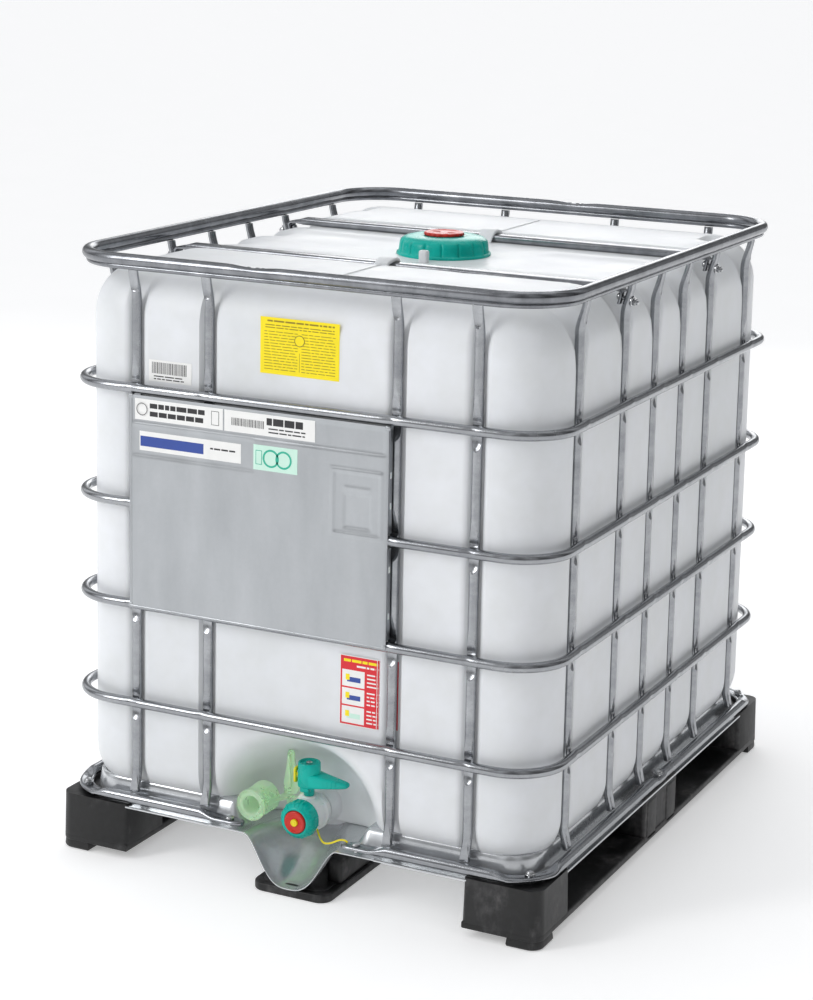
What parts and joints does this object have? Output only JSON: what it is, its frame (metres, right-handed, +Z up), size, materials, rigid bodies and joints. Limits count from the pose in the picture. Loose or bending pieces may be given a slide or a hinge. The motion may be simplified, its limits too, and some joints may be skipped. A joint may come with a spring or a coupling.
{
  "type": "intermediate bulk container",
  "caption": "Caged bulk liquid container: blown plastic bottle in a welded tube cage on a steel tray with moulded skids, with a screw lid, vent plug and capped outlet valve.",
  "frame": {"origin": "middle of the footprint, on the ground", "axes": "+Z up, -Y out of the outlet valve, +X along the side that carries the valve"},
  "size_m": [1, 1.201, 1.16],
  "materials": {
    "bottle": "satin natural HDPE",
    "cage_steel": "galvanised tube",
    "sheet_steel": "galvanised sheet",
    "fastener_steel": "zinc plated",
    "stem_steel": "bright stainless",
    "teal_plastic": "moulded",
    "red_plastic": "moulded",
    "yellow_plastic": "moulded",
    "green_plastic": "translucent moulded",
    "natural_plastic": "natural moulded HDPE",
    "skid_plastic": "recycled moulded HDPE",
    "seal_rubber": "moulded EPDM",
    "yellow_film": "printed film",
    "red_film": "printed film",
    "white_film": "printed film"
  },
  "bodies": {
    "container": {"barcode_label": "white_film", "bottle": "bottle", "bottom_ring": "cage_steel", "crossbar_fasteners": "fastener_steel", "crossbar_front": "cage_steel", "crossbar_rear": "cage_steel", "hoop_1": "cage_steel", "hoop_2": "cage_steel", "hoop_3": "cage_steel", "hoop_4": "cage_steel", "label_plate": "sheet_steel", "plate_clips": "natural_plastic", "plate_labels": "white_film", "red_label": "red_film", "ring_bolts": "fastener_steel", "seal_strap": "yellow_plastic", "skid_left": "skid_plastic", "skid_middle": "skid_plastic", "skid_right": "skid_plastic", "top_rim": "cage_steel", "tray": "sheet_steel", "upright_front_1": "cage_steel", "upright_front_2": "cage_steel", "upright_front_3": "cage_steel", "upright_front_4": "cage_steel", "upright_left_1": "cage_steel", "upright_left_2": "cage_steel", "upright_left_3": "cage_steel", "upright_left_4": "cage_steel", "upright_left_5": "cage_steel", "upright_left_6": "cage_steel", "upright_rear_1": "cage_steel", "upright_rear_2": "cage_steel", "upright_rear_3": "cage_steel", "upright_rear_4": "cage_steel", "upright_right_1": "cage_steel", "upright_right_2": "cage_steel", "upright_right_3": "cage_steel", "upright_right_4": "cage_steel", "upright_right_5": "cage_steel", "upright_right_6": "cage_steel", "valve_body": "natural_plastic", "yellow_label": "yellow_film"},
    "lid_seal": {"lid_gasket": "seal_rubber"},
    "lid": {"lid": "teal_plastic"},
    "vent_seal": {"vent_plug_gasket": "seal_rubber"},
    "vent_plug": {"vent_plug": "red_plastic"},
    "outlet_seal": {"outlet_gasket": "seal_rubber"},
    "outlet_disc": {"outlet_disc": "red_plastic", "seal_button": "yellow_plastic"},
    "outlet_nut": {"outlet_nut": "teal_plastic"},
    "valve_spindle": {"valve_handle": "teal_plastic", "handle_screw": "stem_steel", "valve_stem": "stem_steel", "stem_seals": "seal_rubber", "valve_flap": "natural_plastic", "flap_seal": "seal_rubber"},
    "lock_clip": {"lock_clip": "yellow_plastic"},
    "safeguard": {"valve_safeguard": "green_plastic"}
  },
  "joints": [
    {"name": "lid_lift", "type": "slide", "parent": "container", "child": "lid_seal", "axis": [0, 0, 1], "range_m": [0, 0.25]},
    {"name": "lid_turn", "type": "hinge", "parent": "lid_seal", "child": "lid", "pos_m": [0, 0, 1.149], "axis": [0, 0, 1], "range_deg": [0, 720]},
    {"name": "vent_plug_rise", "type": "slide", "parent": "lid", "child": "vent_seal", "axis": [0, 0, 1], "range_m": [0, 0.00925]},
    {"name": "vent_plug_turn", "type": "hinge", "parent": "vent_seal", "child": "vent_plug", "pos_m": [0, 0, 1.154], "axis": [0, 0, 1], "range_deg": [0, 1440]},
    {"name": "outlet_cap_pull", "type": "slide", "parent": "container", "child": "outlet_seal", "axis": [0, -1, 0], "range_m": [0, 0.15]},
    {"name": "outlet_cap_rise", "type": "slide", "parent": "outlet_seal", "child": "outlet_disc", "axis": [0, -1, 0], "range_m": [0, 0.01801]},
    {"name": "outlet_cap_turn", "type": "hinge", "parent": "outlet_disc", "child": "outlet_nut", "pos_m": [0, -0.57, 0.137], "axis": [0, -1, 0], "range_deg": [0, 1080]},
    {"name": "valve_handle_turn", "type": "hinge", "parent": "container", "child": "valve_spindle", "pos_m": [0, -0.525, 0.137], "axis": [0, 0, -1], "range_deg": [0, 90]},
    {"name": "lock_clip_slide", "type": "slide", "parent": "valve_spindle", "child": "lock_clip", "axis": [-1, 0, 0], "range_m": [0, 0.012]},
    {"name": "safeguard_pull", "type": "slide", "parent": "container", "child": "safeguard", "axis": [0, -1, 0], "range_m": [0, 0.12]}
  ],
  "couplings": [
    {"joint": "vent_plug_rise", "follows": "vent_plug_turn", "m_per_rad": 0.00036749},
    {"joint": "outlet_cap_rise", "follows": "outlet_cap_turn", "m_per_rad": 0.00095493}
  ]
}
